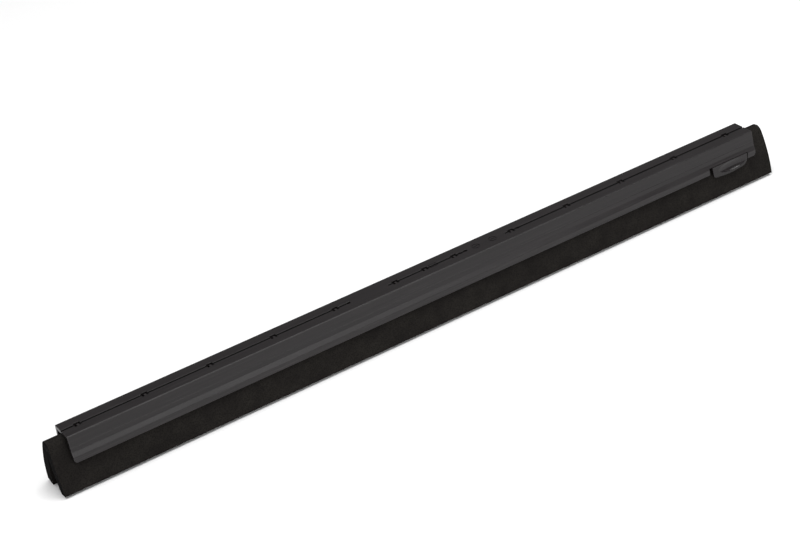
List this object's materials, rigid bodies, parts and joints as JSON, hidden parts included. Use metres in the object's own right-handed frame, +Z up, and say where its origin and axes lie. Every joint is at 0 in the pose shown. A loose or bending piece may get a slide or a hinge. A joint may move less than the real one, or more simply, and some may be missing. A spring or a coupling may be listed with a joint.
{
  "type": "squeegee replacement cassette",
  "caption": "Squeegee replacement cassette: a long plastic channel that clamps a folded foam rubber double blade, with a sprung release tab in its front lip.",
  "frame": {"origin": "middle of the footprint, at the height of the two blade tips that it stands on", "axes": "+X along the length towards the end with the release tab, +Y to the back, -Y to the front where the tab is, +Z up through the top plate"},
  "size_m": [0.605, 0.03, 0.0415],
  "materials": {
    "channel": "black polypropylene, moulded satin",
    "tab": "black polypropylene, moulded satin",
    "blade": "black cellular rubber, fine open-cell skin",
    "strip": "black polypropylene"
  },
  "bodies": {
    "cassette": {"cassette_channel": "channel", "rubber_blade": "blade", "clamp_strip": "strip"},
    "tab": {"release_tab": "tab"}
  },
  "joints": [
    {"name": "release_tab_press", "type": "hinge", "parent": "cassette", "child": "tab", "pos_m": [0.2652, -0.01125, 0.027], "axis": [1, 0, 0], "range_deg": [0, 4], "stiffness_Nm_per_rad": 1}
  ]
}
